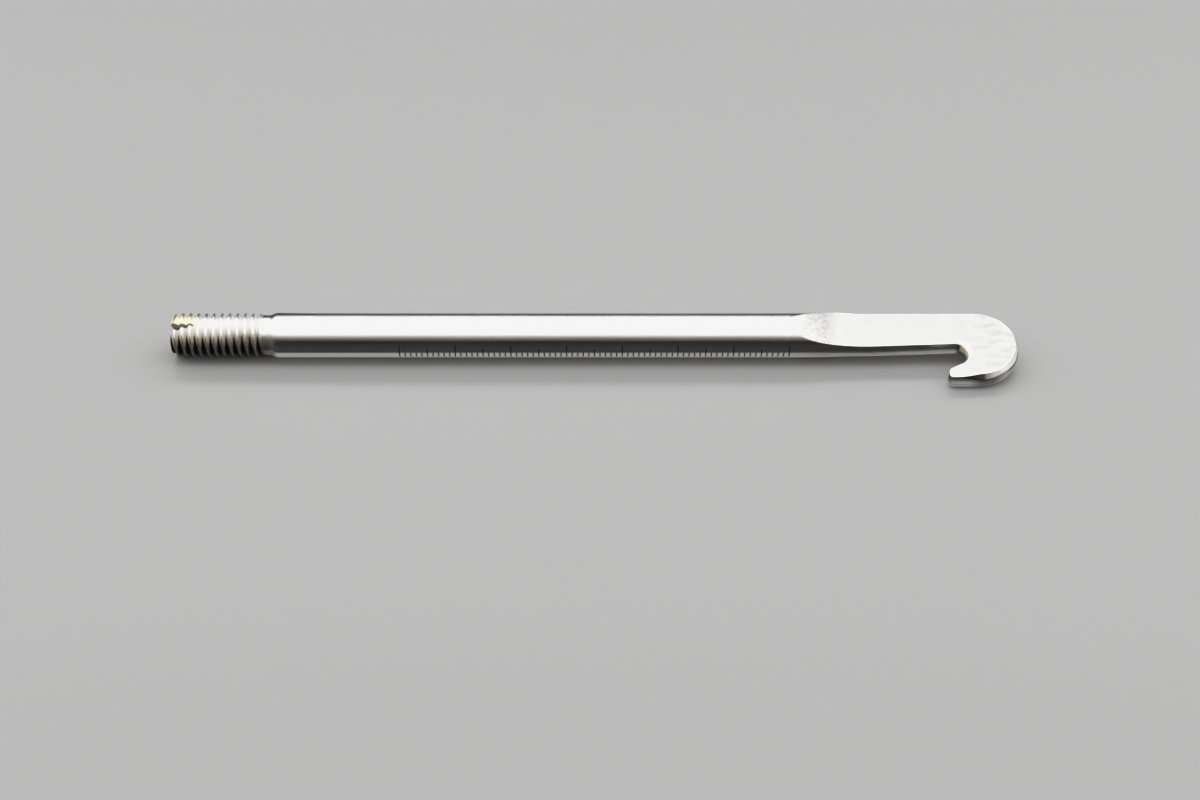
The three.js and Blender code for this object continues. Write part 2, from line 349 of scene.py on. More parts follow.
class Path:
    """A plan outline of lines and arcs, measured by length, with the normal that points into the metal.

    side is 1 where the metal lies to the right of the way along the path, and -1 where it lies left.
    """

    def __init__(self, side):
        self.side = side
        self.pieces = []
        self.length = 0.0

    def add(self, length, place):
        self.pieces.append((self.length, length, place))
        self.length += length

    def line(self, start, end):
        start, end = np.array(start, float), np.array(end, float)
        length = float(np.linalg.norm(end - start))
        along = (end - start) / length
        inward = self.side * np.array([along[1], -along[0]])
        self.add(length, lambda t: (start + t * (end - start), inward))

    def arc(self, centre, radius, start_deg, end_deg):
        centre = np.array(centre, float)
        outward = self.side if end_deg > start_deg else -self.side

        def place(t):
            angle = math.radians(start_deg + t * (end_deg - start_deg))
            out = np.array([math.cos(angle), math.sin(angle)])
            return centre + radius * out, outward * out

        self.add(radius * math.radians(abs(end_deg - start_deg)), place)

    def at(self, distance):
        """(point, inward) at a distance along the path."""
        for start, length, place in self.pieces:
            if distance <= start + length:
                return place((distance - start) / length)
        return self.end()

    def end(self):
        _, _, place = self.pieces[-1]
        return place(1.0)

    def starts(self):
        """The distance at which each line or arc starts."""
        return [start for start, _, _ in self.pieces]


def outer_path():
    """Back edge, half-round back of the hook, finger's outer edge and outer corner."""
    path = Path(1)
    path.line((RIBBON_START_X, SHAFT_RADIUS), (HOOK_X, SHAFT_RADIUS))
    path.arc((HOOK_X, HOOK_Y), HOOK_RADIUS, 90, -90)
    corner_x = FINGER_END_X + FINGER_OUTER_CORNER
    path.line((HOOK_X, -HOOK_REACH), (corner_x, -HOOK_REACH))
    path.arc((corner_x, FINGER_OUTER_CORNER - HOOK_REACH), FINGER_OUTER_CORNER, -90, -180)
    return path


def inner_path():
    """Tapered edge, throat, the finger's slanted inner edge and its inner corner."""
    path = Path(-1)
    start_width = TAPER_START_WIDTH - TAPER * (RIBBON_START_X - TAPER_START_X)
    path.line((RIBBON_START_X, -start_width), (THROAT_X, -TAPER_END_WIDTH))
    slant_deg = math.degrees(THROAT_SLANT)
    path.arc((THROAT_X, THROAT_Y), THROAT_RADIUS, 90, slant_deg - 90)
    slant_start, _ = path.end()
    corner_x = FINGER_END_X + FINGER_INNER_CORNER
    slant_end_x = corner_x - FINGER_INNER_CORNER * math.sin(THROAT_SLANT)
    slant_end_y = slant_start[1] - (slant_start[0] - slant_end_x) * math.tan(THROAT_SLANT)
    path.line(slant_start, (slant_end_x, slant_end_y))
    corner_y = slant_end_y - FINGER_INNER_CORNER * math.cos(THROAT_SLANT)
    path.arc((corner_x, corner_y), FINGER_INNER_CORNER, 90 + slant_deg, 180)
    return path


def bevel_at(point):
    """(take, drop) of the hook's ground bevel at a point on the outer edge."""
    x, y = point
    if x > HOOK_X:
        place = math.degrees(math.atan2(HOOK_Y - y, x - HOOK_X))
        places, takes, drops = zip(*BEND_BEVEL)
    elif y < HOOK_Y:
        place = x
        places, takes, drops = zip(*FINGER_BEVEL)
    else:
        return 0.0, 0.0
    return float(np.interp(place, places, takes)), float(np.interp(place, places, drops))


def outer_column(point, inward, bulge, tuck):
    """Up the outer wall: its plain rounded edge gives way to the bevel where there is one."""
    take, drop = bevel_at(point)
    reach, z = wall_profile(HALF_BLADE, bulge, EDGE_RADIUS, EDGE_RADIUS)
    ground = smooth_step((take + drop) / FULL_BEVEL)
    if ground > 0:
        bevel_reach, bevel_z = bevelled_profile(bulge, max(take, LEAST_BEVEL), max(drop, LEAST_BEVEL))
        reach = reach + ground * (bevel_reach - reach)
        z = z + ground * (bevel_z - z)
    return place_column(point, inward, bulge + tuck, reach, z)


def inner_column(point, inward, bulge, top_edge):
    """Up the inner wall, which stands with its flat's edge on the path and bulges out from there."""
    reach, z = wall_profile(HALF_BLADE, bulge, top_edge, EDGE_RADIUS)
    edge_line = edge_centre(HALF_BLADE, bulge, EDGE_RADIUS)[0] + EDGE_RADIUS
    return place_column(point, inward, edge_line, reach, z)


def place_column(point, inward, path_reach, reach, z):
    """A wall's points in the rod's frame, with the profile's `path_reach` standing on the path."""
    inset = (path_reach - reach)[:, None]
    plan = np.array(point) + inset * np.array(inward)
    return np.concatenate([plan, z[:, None]], axis=1)


def fading_bulge(bulge, fade):
    """A wall's bulge radius as it flattens: `fade` runs from 0, the full bulge, to 1, flat."""
    left = 1 - float(smooth_step(fade))
    return min(NEARLY_FLAT, bulge / left) if left > 0 else NEARLY_FLAT


def throat_edge(into_throat):
    """Radius of the inner wall's upper edge at a distance past the throat's start."""
    rising = smooth_step((into_throat - THROAT_EDGE_START) / THROAT_EDGE_FADE)
    falling = smooth_step((THROAT_EDGE_END - into_throat) / THROAT_EDGE_FADE)
    return EDGE_RADIUS + rising * falling * (THROAT_EDGE_RADIUS - EDGE_RADIUS)


def matched_stops(outer, inner):
    """Distances along the outer and the inner edge that the hook's sections join to each other.

    On the inner edge they are where the throat, the slanted line and the corner start. On the outer edge
    they are moved along a little, so that the sections lie square across the ribbon.
    """
    _, _, finger_line, outer_corner = outer.starts()
    _, throat_arc, slanted_line, inner_corner = inner.starts()
    past_throat_start, past_bend, before_corner = 1.5, 1.3, 0.4
    outer_stops = (
        0.0,
        THROAT_X + past_throat_start - RIBBON_START_X,
        finger_line + past_bend,
        outer_corner - before_corner,
        outer.length,
    )
    return outer_stops, (0.0, throat_arc, slanted_line, inner_corner, inner.length)


def hook_sections():
    outer, inner = outer_path(), inner_path()
    outer_stops, inner_stops = matched_stops(outer, inner)
    outer_corner, throat_start = outer.starts()[-1], inner.starts()[1]

    # Places are counted in stretches between stops: 1.5 is halfway along the second stretch.
    stops = np.arange(len(outer_stops))
    places = [0.0]
    for stretch, rows in enumerate(RIBBON_ROWS):
        places += [stretch + row / rows for row in range(1, rows + 1)]
    outer_distances = np.interp(places, stops, outer_stops)
    inner_distances = np.interp(places, stops, inner_stops)

    sections = []
    for outer_distance, inner_distance in zip(outer_distances, inner_distances):
        bulge, tuck = back_edge(1 - smooth_step(outer_distance / BACK_ROUNDS_OVER))
        bulge = fading_bulge(bulge, (outer_distance - outer_corner) / (outer.length - outer_corner))
        outer_wall = outer_column(*outer.at(outer_distance), bulge, tuck)
        into_throat = inner_distance - throat_start
        inner_bulge = fading_bulge(SHAFT_RADIUS, into_throat / THROAT_FLATTENS_OVER)
        inner_wall = inner_column(*inner.at(inner_distance), inner_bulge, throat_edge(into_throat))
        sections.append(loop_from_walls(outer_wall, inner_wall))
    return sections


def finger_end_columns():
    """The flat end of the finger: wall columns between the outer and the inner corner."""
    outer_point, inward = outer_path().end()
    inner_point, _ = inner_path().end()
    share = np.linspace(0, 1, CROWN + 1)[1:-1]
    return [
        inner_column(outer_point + t * (inner_point - outer_point), inward, NEARLY_FLAT, EDGE_RADIUS)
        for t in share
    ]


# ---- the whole rod -----------------------------------------------------------------------------

def rod_sections():
    """Every section in turn, from the rings of the threaded end face to the finger's end."""
    even, tip = even_angles(), scoop_tip_angles()
    sections = []

    for share in END_FACE_RINGS:
        sections.append(round_section(0.0, share * thread_radius(0.0, even), even))
    thread_rows = round(THREAD_LENGTH / THREAD_PITCH * ROWS_PER_PITCH)
    for x in np.linspace(0, THREAD_LENGTH, thread_rows + 1):
        sections.append(round_section(x, thread_radius(x, even), even))
    for x in np.linspace(THREAD_LENGTH, SHAFT_START_X, NECK_ROWS + 1)[1:]:
        sections.append(round_section(x, neck_radius(x), even))

    # Along the shaft the points slide round to where the scoops need them.
    for t in np.linspace(0, 1, SHAFT_ROWS + 1)[1:]:
        x = SHAFT_START_X + t * (SCOOP_TIP_X - SHAFT_START_X)
        sections.append(round_section(x, SHAFT_RADIUS, even + smooth_step(t) * (tip - even)))

    # The scoops' rows lie closest at their tips, where the flats open fastest.
    for t in np.linspace(0, 1, SCOOP_ROWS + 1)[1:]:
        sections.append(milled_section(SCOOP_TIP_X + t**2 * (SCOOP_TANGENT_X - SCOOP_TIP_X)))
    for x in np.linspace(SCOOP_TANGENT_X, RIBBON_START_X, BLADE_ROWS + 1)[1:-1]:
        sections.append(milled_section(x))
    return sections + hook_sections()


def rod_mesh_data():
    """Vertices and faces of the closed rod, before its notch is cut."""
    sections = rod_sections()
    vertices = np.concatenate(sections)
    last = (len(sections) - 1) * LOOP
    faces = []
    for row in range(len(sections) - 1):
        a = row * LOOP
        for j in range(LOOP):
            k = (j + 1) % LOOP
            faces.append((a + j, a + k, a + LOOP + k, a + LOOP + j))

    hub = len(vertices)
    faces += [(hub, (j + 1) % LOOP, j) for j in range(LOOP)]
    vertices = np.concatenate([vertices, [[0.0, 0.0, 0.0]]])

    # The finger's end joins the last loop: outer wall, top, inner wall from top to bottom, underside.
    columns = [[last + j for j in range(WALL + 1)]]
    for index, column in enumerate(finger_end_columns(), start=1):
        first = len(vertices)
        vertices = np.concatenate([vertices, column[1:-1]])
        low = last + (LOOP - index) % LOOP
        high = last + WALL + index
        columns.append([low] + list(range(first, first + WALL - 1)) + [high])
    columns.append([last + 2 * WALL + CROWN - j for j in range(WALL + 1)])
    for left, right in zip(columns, columns[1:]):
        for j in range(WALL):
            faces.append((left[j], left[j + 1], right[j + 1], right[j]))
    return vertices, faces


def resting_matrix():
    """From the rod's own frame in millimetres to where it lies in the row frame in metres.

    It rests on the shaft's underside and on the finger's lower edge, which rolls it about its axis.
    """
    finger_edge = HOOK_REACH - SHAFT_RADIUS + math.sqrt(SHAFT_RADIUS**2 - HALF_BLADE**2)
    finger_turn = math.atan2(HALF_BLADE, finger_edge)
    roll = math.asin(SHAFT_RADIUS / math.hypot(finger_edge, HALF_BLADE)) - finger_turn
    axis_point = Vector((cad_low.x, cad_high.y - SHAFT_RADIUS * MM, SHAFT_RADIUS * MM))
    return Matrix.Translation(axis_point) @ Matrix.Rotation(roll, 4, "X") @ Matrix.Scale(MM, 4)


def new_object(name, vertices, faces):
    mesh = bpy.data.meshes.new(name)
    mesh.from_pydata([tuple(v) for v in vertices], [], faces)
    piece = bpy.data.objects.new(name, mesh)
    bpy.context.scene.collection.objects.link(piece)
    return piece


def notch_cutter():
    """A half V drawn in x and y: one wall along the rod, one slanted, and a rounded bottom between."""
    bottom_x = NOTCH_DEPTH - NOTCH_BOTTOM_RADIUS
    bottom_y = NOTCH_STRAIGHT_WALL - NOTCH_BOTTOM_RADIUS
    slope = (bottom_y - NOTCH_BOTTOM_RADIUS - NOTCH_SLANTED_WALL) / bottom_x
    past = NOTCH_CUTTER_MARGIN
    outline = [(-past, NOTCH_SLANTED_WALL - slope * past)]
    for turn in np.linspace(-math.pi / 2, math.pi / 2, NOTCH_BOTTOM_POINTS):
        outline.append((
            bottom_x + NOTCH_BOTTOM_RADIUS * math.cos(turn),
            bottom_y + NOTCH_BOTTOM_RADIUS * math.sin(turn),
        ))
    outline.append((-past, NOTCH_STRAIGHT_WALL))
    count, height = len(outline), SHAFT_RADIUS + past
    vertices = [(x, y, -height) for x, y in outline] + [(x, y, height) for x, y in outline]
    faces = [tuple(reversed(range(count))), tuple(range(count, 2 * count))]
    faces += [(i, (i + 1) % count, count + (i + 1) % count, count + i) for i in range(count)]
    cutter = new_object("notch_cutter", vertices, faces)
    cutter.data.transform(Matrix.Rotation(NOTCH_TURN, 4, "X"))
    return cutter


def clean_mesh(mesh):
    """Merges points that coincide, and shades the faces smooth except across sharp edges."""
    bm = bmesh.new()
    bm.from_mesh(mesh)
    bmesh.ops.remove_doubles(bm, verts=bm.verts, dist=MERGE_DISTANCE)
    bmesh.ops.dissolve_degenerate(bm, edges=bm.edges, dist=LEAST_EDGE)
    for face in bm.faces:
        face.smooth = True
    for edge in bm.edges:
        edge.smooth = edge.calc_face_angle(0.0) < SHARP_ANGLE
    bm.to_mesh(mesh)
    bm.free()


def store_rod_places(mesh):
    """Keeps each point's place in the rod's own frame, in millimetres, for the material to work from."""
    places = np.empty(3 * len(mesh.vertices), dtype=np.float32)
    mesh.vertices.foreach_get("co", places)
    mesh.attributes.new("rod_mm", "FLOAT_VECTOR", "POINT").data.foreach_set("vector", places)


def build_rod():
    """The loft with its notch cut, where it lies in the row frame."""
    vertices, faces = rod_mesh_data()
    rod = new_object("steel_hook_rod", vertices, faces)
    clean_mesh(rod.data)
    cutter = notch_cutter()
    cut = rod.modifiers.new("notch", "BOOLEAN")
    cut.operation = "DIFFERENCE"
    cut.solver = "EXACT"
    cut.object = cutter
    depsgraph = bpy.context.evaluated_depsgraph_get()
    notched = bpy.data.meshes.new_from_object(rod.evaluated_get(depsgraph))
    rod.modifiers.clear()
    rod.data = notched
    bpy.data.objects.remove(cutter)
    clean_mesh(rod.data)
    store_rod_places(rod.data)
    rod.data.transform(resting_matrix())
    return rod


# ---- node graphs -------------------------------------------------------------------------------

class Graph:
    """Adds nodes to one node tree. Values can be plain numbers, tuples or the outputs of other nodes.

    A share is a number from 0 to 1. A band is a (from, to) pair that a value changes across softly.
    """

    def __init__(self, tree):
        self.tree = tree

    def put(self, socket, value):
        if isinstance(value, bpy.types.NodeSocket):
            self.tree.links.new(value, socket)
        else:
            socket.default_value = value

    def node(self, kind, **settings):
        node = self.tree.nodes.new(kind)
        for key, value in settings.items():
            setattr(node, key, value)
        return node

    def axes(self, vector):
        """The x, y and z of a vector."""
        node = self.node("ShaderNodeSeparateXYZ")
        self.put(node.inputs["Vector"], vector)
        return [node.outputs[name] for name in "XYZ"]

    def seen_directly(self):
        """1 for what the camera looks at, 0 for what is mirrored or lit."""
        return self.node("ShaderNodeLightPath").outputs["Is Camera Ray"]

    def math(self, operation, a, b=0.0):
        node = self.node("ShaderNodeMath", operation=operation)
        self.put(node.inputs[0], a)
        self.put(node.inputs[1], b)
        return node.outputs["Value"]

    def add(self, a, b):
        return self.math("ADD", a, b)

    def larger(self, a, b):
        return self.math("MAXIMUM", a, b)

    def product(self, first, *others):
        for other in others:
            first = self.math("MULTIPLY", first, other)
        return first

    def remainder(self, share):
        return self.math("SUBTRACT", 1.0, share)

    def centred(self, value):
        """A noise value moved from around a half to around zero."""
        return self.math("SUBTRACT", value, 0.5)

    def vector(self, operation, a, b):
        node = self.node("ShaderNodeVectorMath", operation=operation)
        self.put(node.inputs[0], a)
        self.put(node.inputs[1], b)
        return node.outputs["Value" if operation in ("DOT_PRODUCT", "DISTANCE") else "Vector"]

    def ramp(self, value, band, start, end):
        """`start` below the band, `end` above it, and an eased change between them."""
        node = self.node("ShaderNodeMapRange", interpolation_type="SMOOTHSTEP")
        names = ("Value", "From Min", "From Max", "To Min", "To Max")
        for name, number in zip(names, (value, *band, start, end)):
            self.put(node.inputs[name], number)
        return node.outputs["Result"]

    def rise(self, value, band):
        return self.ramp(value, band, 0.0, 1.0)

    def fall(self, value, band):
        return self.ramp(value, band, 1.0, 0.0)

    def within(self, value, reach, soft):
        """1 inside the reach, a (from, to) pair, and 0 outside, with ends `soft` to either side."""
        low, high = reach
        return self.product(
            self.rise(value, (low - soft, low + soft)),
            self.fall(value, (high - soft, high + soft)),
        )

    def noise(self, place, frequency, detail, roughness):
        """Cloudy noise around a half, its frequency given for x, y and z."""
        node = self.node("ShaderNodeTexNoise")
        self.put(node.inputs["Vector"], self.vector("MULTIPLY", place, frequency))
        node.inputs["Scale"].default_value = 1.0
        node.inputs["Detail"].default_value = detail
        node.inputs["Roughness"].default_value = roughness
        return node.outputs["Fac"]

    def mix(self, data_type, ending, share, a, b):
        node = self.node("ShaderNodeMix", data_type=data_type)
        sockets = {socket.identifier: socket for socket in (*node.inputs, *node.outputs)}
        self.put(sockets["Factor_Float"], share)
        self.put(sockets["A_" + ending], a)
        self.put(sockets["B_" + ending], b)
        return sockets["Result_" + ending]

    def colour(self, share, a, b):
        """Colour a where the share is 0, and b where it is 1."""
        return self.mix("RGBA", "Color", share, a, b)

    def level(self, share, a, b):
        """Number a where the share is 0, and b where it is 1."""
        return self.mix("FLOAT", "Float", share, a, b)

    def bump(self, height, strength, distance, below=None):
        """The surface's normal, tilted by relief on top of the relief below, if any."""
        node = self.node("ShaderNodeBump")
        self.put(node.inputs["Strength"], strength)
        node.inputs["Distance"].default_value = distance
        self.put(node.inputs["Height"], height)
        if below is not None:
            self.put(node.inputs["Normal"], below)
        return node.outputs["Normal"]


def new_material(name):
    """A material, its graph and its shader."""
    material = bpy.data.materials.new(name)
    material.use_nodes = True
    return material, Graph(material.node_tree), material.node_tree.nodes["Principled BSDF"]


# ---- steel -------------------------------------------------------------------------------------

STEEL = (0.66, 0.652, 0.635, 1)
PALE_STEEL = (0.74, 0.735, 0.725, 1)
MILLED_STEEL = (0.54, 0.537, 0.53, 1)
DULL_STEEL = (0.36, 0.357, 0.35, 1)
SCOOP_STEEL = (0.27, 0.268, 0.262, 1)
GROUND_STEEL = (0.2, 0.198, 0.193, 1)
# A near black for painted shade: over the bevel at the finger, on the wall below it, and in the throat.
PAINTED_SHADE_STEEL = (0.04, 0.032, 0.026, 1)
# A painted golden highlight for the throat's upper rim.
GOLDEN_RIM_HIGHLIGHT = (0.95, 0.87, 0.68, 1)
SIDE_STREAK = (0.4, 0.385, 0.365, 1)
# A painted warm sheen for the thread's flanks.
STRAW_SHEEN = (0.8, 0.72, 0.52, 1)
PALE_GOLD = (0.85, 0.78, 0.52, 1)
BROWN = (0.14, 0.095, 0.06, 1)
# Painted shade for the thread's grooves.
GROOVE_SHADE = (0.05, 0.038, 0.04, 1)
ETCH = (0.028, 0.022, 0.02, 1)

# Where the finishes change along the rod: soft bands, or reaches with soft ends, of x in millimetres.
THREAD_ENDS = (16.0, 16.5)
PRONG_ENDS = (4.0, 4.5)
STAIN_STARTS = (8.0, 15.0)
STAIN_ENDS = (17.2, 19.5)
SIDE_STREAKS_START = (106.0, 118.0)
FLATS_START = (110.6, 111.4)
SCOOP_REACH = (112.6, 118.8)
SCOOP_SOFT = 1.9
HOOK_DULLS = (138.0, 150.0)
BEVEL_STARTS = (139.5, 141.5)
THROAT_STARTS = (140.6, 141.4)
RIM_STARTS = (141.2, 141.9)
# Where the painted shade over the finger's bevel ends, and where the painted shade on the hook's wall
# lies.
BEVEL_SHADE_ENDS = (145.0, 147.2)
SHADED_REACH = (143.5, 148.2)
SHADED_SOFT = 1.4

# And across it: bands of y or z, of the distance from the throat's centre, or from the notch's middle.
THROAT_ENDS = (THROAT_RADIUS + 0.75, THROAT_RADIUS + 0.95)
RIM_STARTS_Y = (THROAT_Y - 0.4, THROAT_Y + 0.3)
RIM_STARTS_Z = (-0.5, 0.5)
SHADED_ENDS_Y = (-9.4, -8.4)
PRONG_STARTS = (0.9, 1.05)

# How squarely the surface faces out of a flat: 1 on the flat itself, 0 on a wall.
FLAT_FACING = (0.86, 0.93)
SIDE_FACING = (0.35, 0.5)
DEPTH_FACING = (0.5, 0.8)
SHADED_FACING = (0.5, 0.6)
BEVEL_FACING = (0.5, 0.955)
BEVEL_FACING_SOFT = 0.02

# Radii within the thread, in millimetres.
CREST_RADII = (3.35, 3.86)
GROOVE_RADII = (2.98, 3.18)

# How far up the rod's side a point lies as the rod rests: 1 on top, 0 at the axis, -1 underneath.
# The first two: where the thread's painted sheen and painted groove shade thin out towards its top.
THREAD_SHADING_THINS = (0.4, 0.68)
GROOVE_SHADE_THINS = (-0.35, 0.55)
STAIN_THINS = (0.45, 0.75)
UNDERSIDE_THINS = (-0.1, 0.45)

# The etched scale on the shaft's hook side: plain ticks, longer at every fifth and tenth.
SCALE_REACH = (41.0, 111.0)
SCALE_MARGIN = 0.4
SCALE_BOTTOM_Z = -1.75
SCALE_SIDE_Y = (-0.5, 0.0)
TICK_SPACING = 1.0
TICK_WIDTH = 0.24
TICK_LENGTHS = ((1, 1.7), (5, 2.6), (10, 3.4))
TICK_SOFT = 0.05
TICK_END_SOFT = 0.06

# Roughness of each finish. Where there are two, it varies between them from hairline to hairline.
SHAFT_ROUGHNESS = (0.16, 0.26)
FLAT_ROUGHNESS = (0.18, 0.28)
SIDE_ROUGHNESS = 0.3
BEVEL_ROUGHNESS = 0.42
CREST_ROUGHNESS = 0.26
GROOVE_ROUGHNESS = 0.6
RIM_ROUGHNESS = 0.6
STAIN_ROUGHNESS = 0.55
SPECK_ROUGHNESS = 0.12

# Relief: its depth in metres, and its strength on each finish. The thread has a share of the
# specks that the prong has.
HAIRLINE_DEPTH = 0.04 * MM
SHAFT_HAIRLINES = 0.14
FLAT_HAIRLINES = 0.22
SPECK_DEPTH = 0.06 * MM
SPECKS_EVERYWHERE = 0.07
SPECKS_ON_PRONG = 0.6
THREAD_SPECK_SHARE = 0.3


def rod_measures(g, resting):
    """A point's place on the rod in its own millimetres, and how its surface lies.

    facing is how squarely it faces out of a flat, and height is how far up the resting rod's side it is.
    """
    turn = resting.to_3x3().normalized()
    up = Vector((0, 0, 1))
    place = g.node("ShaderNodeAttribute", attribute_name="rod_mm").outputs["Vector"]
    x, y, z = g.axes(place)
    radius = g.math("SQRT", g.add(g.product(y, y), g.product(z, z)))
    normal = g.node("ShaderNodeNewGeometry").outputs["Normal"]
    facing = g.math("ABSOLUTE", g.vector("DOT_PRODUCT", normal, turn @ up))
    height = g.math("DIVIDE", g.vector("DOT_PRODUCT", place, turn.transposed() @ up), radius)
    return SimpleNamespace(place=place, x=x, y=y, z=z, radius=radius, facing=facing, height=height)


def surface_marks(g, place):
    """Marks of different sizes: hairlines along the rod, clouds, mottling, specks and grit."""
    return SimpleNamespace(
        hairline=g.noise(place, (0.06, 5.0, 5.0), 5.0, 0.7),
        fine_line=g.noise(place, (0.3, 14.0, 14.0), 3.0, 0.6),
        cloud=g.noise(place, (0.35, 0.7, 0.7), 4.0, 0.6),
        mottle=g.noise(place, (1.3, 1.8, 1.8), 5.0, 0.7),
        speck=g.noise(place, (3.0, 5.0, 5.0), 3.0, 0.7),
        grit=g.noise(place, (7.0, 9.0, 9.0), 2.0, 0.6),
    )


def finish_shares(g, at):
    """Where each finish, and each patch of painted shade or highlight, is: 1 on it, 0 off it."""
    thread = g.fall(at.x, THREAD_ENDS)
    flat = g.product(g.rise(at.x, FLATS_START), g.rise(at.facing, FLAT_FACING))
    scoop = g.product(flat, g.within(at.x, SCOOP_REACH, SCOOP_SOFT))
    side = g.product(g.rise(at.x, SIDE_STREAKS_START), g.fall(at.facing, SIDE_FACING))

    plan = g.vector("MULTIPLY", at.place, (1, 1, 0))
    from_throat = g.vector("DISTANCE", plan, (THROAT_X, THROAT_Y, 0))
    in_throat = g.product(g.rise(at.x, THROAT_STARTS), g.fall(from_throat, THROAT_ENDS))
    # A painted golden highlight on the throat's upper rim, at its right end.
    rim_corner = g.product(g.rise(at.x, RIM_STARTS), g.rise(at.y, RIM_STARTS_Y))
    throat_rim_highlight = g.product(in_throat, rim_corner, g.rise(at.z, RIM_STARTS_Z))
    # Painted shade on the throat's walls, away from the rim's painted highlight.
    throat_wall_shade = g.product(in_throat, g.remainder(throat_rim_highlight), g.fall(at.facing, DEPTH_FACING))

    bevel = g.product(g.rise(at.x, BEVEL_STARTS), g.within(at.facing, BEVEL_FACING, BEVEL_FACING_SOFT))
    bevel = g.product(bevel, g.remainder(in_throat))
    # Painted shade over the bevel at the finger, and on the hook's wall below the bevel.
    finger_bevel_shade = g.fall(at.x, BEVEL_SHADE_ENDS)
    shaded = g.product(
        g.within(at.x, SHADED_REACH, SHADED_SOFT),
        g.ramp(at.y, SHADED_ENDS_Y, 0.7, 0.0),
        g.fall(at.facing, SHADED_FACING),
    )

    across_notch = g.vector("DOT_PRODUCT", at.place, (0.0, math.cos(NOTCH_TURN), math.sin(NOTCH_TURN)))
    prong = g.product(g.fall(at.x, PRONG_ENDS), g.rise(across_notch, PRONG_STARTS))
    below_crest = g.fall(at.radius, CREST_RADII)
    return SimpleNamespace(
        thread=thread, flat=flat, scoop=scoop, side=side, throat_rim_highlight=throat_rim_highlight, throat_wall_shade=throat_wall_shade,
        bevel=bevel, finger_bevel_shade=finger_bevel_shade, shaded=shaded, prong=prong, below_crest=below_crest,
    )


def etched_scale(g, at):
    """1 on the ticks of the scale, which stand on the hook side of the shaft."""
    scale_start, scale_end = SCALE_REACH
    ticks = 0.0
    for every, length in TICK_LENGTHS:
        from_start = g.math("SUBTRACT", at.x, scale_start)
        from_tick = g.math("PINGPONG", from_start, TICK_SPACING * every / 2)
        width = g.fall(from_tick, (TICK_WIDTH / 2 - TICK_SOFT, TICK_WIDTH / 2 + TICK_SOFT))
        reach = g.within(at.z, (SCALE_BOTTOM_Z, SCALE_BOTTOM_Z + length), TICK_END_SOFT)
        ticks = g.larger(ticks, g.product(width, reach))
    inside = g.within(at.x, (scale_start - SCALE_MARGIN, scale_end + SCALE_MARGIN), TICK_SOFT)
    return g.product(ticks, inside, g.fall(at.y, SCALE_SIDE_Y))


def brown_stain(g, at, on, marks):
    """Patches of brown towards the neck and on the thread's underside."""
    near_neck = g.product(g.rise(at.x, STAIN_STARTS), g.fall(at.x, STAIN_ENDS))
    near_neck = g.product(near_neck, g.ramp(at.height, STAIN_THINS, 1.0, 0.1))
    underneath = g.product(on.thread, g.ramp(at.height, UNDERSIDE_THINS, 0.4, 0.0))
    patches = g.rise(g.add(marks.speck, g.product(marks.cloud, 0.4)), (0.6, 0.78))
    return g.product(g.larger(near_neck, underneath), patches)


def milled_colour(g, at, on, marks):
    """The brushed bar, its milled flats, which dull in clouds towards the hook's end, and the scoops."""
    colour = g.colour(g.rise(marks.hairline, (0.35, 0.65)), STEEL, PALE_STEEL)
    colour = g.colour(on.flat, colour, MILLED_STEEL)
    clouds = g.product(on.flat, g.rise(marks.cloud, (0.42, 0.66)))
    dulling = g.ramp(at.x, HOOK_DULLS, 0.08, 0.48)
    colour = g.colour(g.product(clouds, dulling), colour, DULL_STEEL)
    mottled = g.product(on.scoop, g.ramp(marks.mottle, (0.3, 0.7), 0.5, 1.0))
    colour = g.colour(mottled, colour, SCOOP_STEEL)
    streaks = g.rise(g.add(marks.hairline, g.product(marks.fine_line, 0.5)), (0.62, 0.88))
    return g.colour(g.product(on.side, streaks), colour, SIDE_STREAK)


def hook_colour(g, on, marks, colour):
    """The ground bevel, painted shade at the finger and on the wall below, and the throat's painted shade
    and highlight.
    """
    grinding_lines = g.ramp(marks.fine_line, (0.3, 0.7), 1.0, 0.75)
    ground = g.product(on.bevel, g.larger(on.finger_bevel_shade, grinding_lines))
    # Painted shade: over the bevel at the finger, on the wall below it, and on the throat's walls.
    colour = g.colour(ground, colour, g.colour(on.finger_bevel_shade, GROUND_STEEL, PAINTED_SHADE_STEEL))
    colour = g.colour(on.shaded, colour, PAINTED_SHADE_STEEL)
    colour = g.colour(g.product(on.throat_wall_shade, 0.88), colour, PAINTED_SHADE_STEEL)
    # Painted golden highlight, mottled, on the throat's rim.
    return g.colour(g.product(on.throat_rim_highlight, g.rise(marks.mottle, (0.35, 0.55))), colour, GOLDEN_RIM_HIGHLIGHT)


def thread_colour(g, at, on, marks, colour):
    """Bright crests, a painted straw sheen on the flanks and painted shade in the grooves, both stronger
    lower down.
    """
    # Painted sheen on the flanks and painted shade in the grooves, strongest on the thread's lower side.
    thread_shading = g.product(on.thread, g.ramp(at.height, THREAD_SHADING_THINS, 1.0, 0.06))
    colour = g.colour(g.product(thread_shading, on.below_crest, 0.75), colour, STRAW_SHEEN)
    raggedness = g.product(g.centred(marks.speck), 0.5)
    groove_shade_level = g.math("SUBTRACT", raggedness, g.ramp(at.height, GROOVE_SHADE_THINS, 0.65, 0.0))
    in_groove = g.fall(g.add(at.radius, groove_shade_level), GROOVE_RADII)
    return g.colour(g.product(thread_shading, in_groove), colour, GROOVE_SHADE)


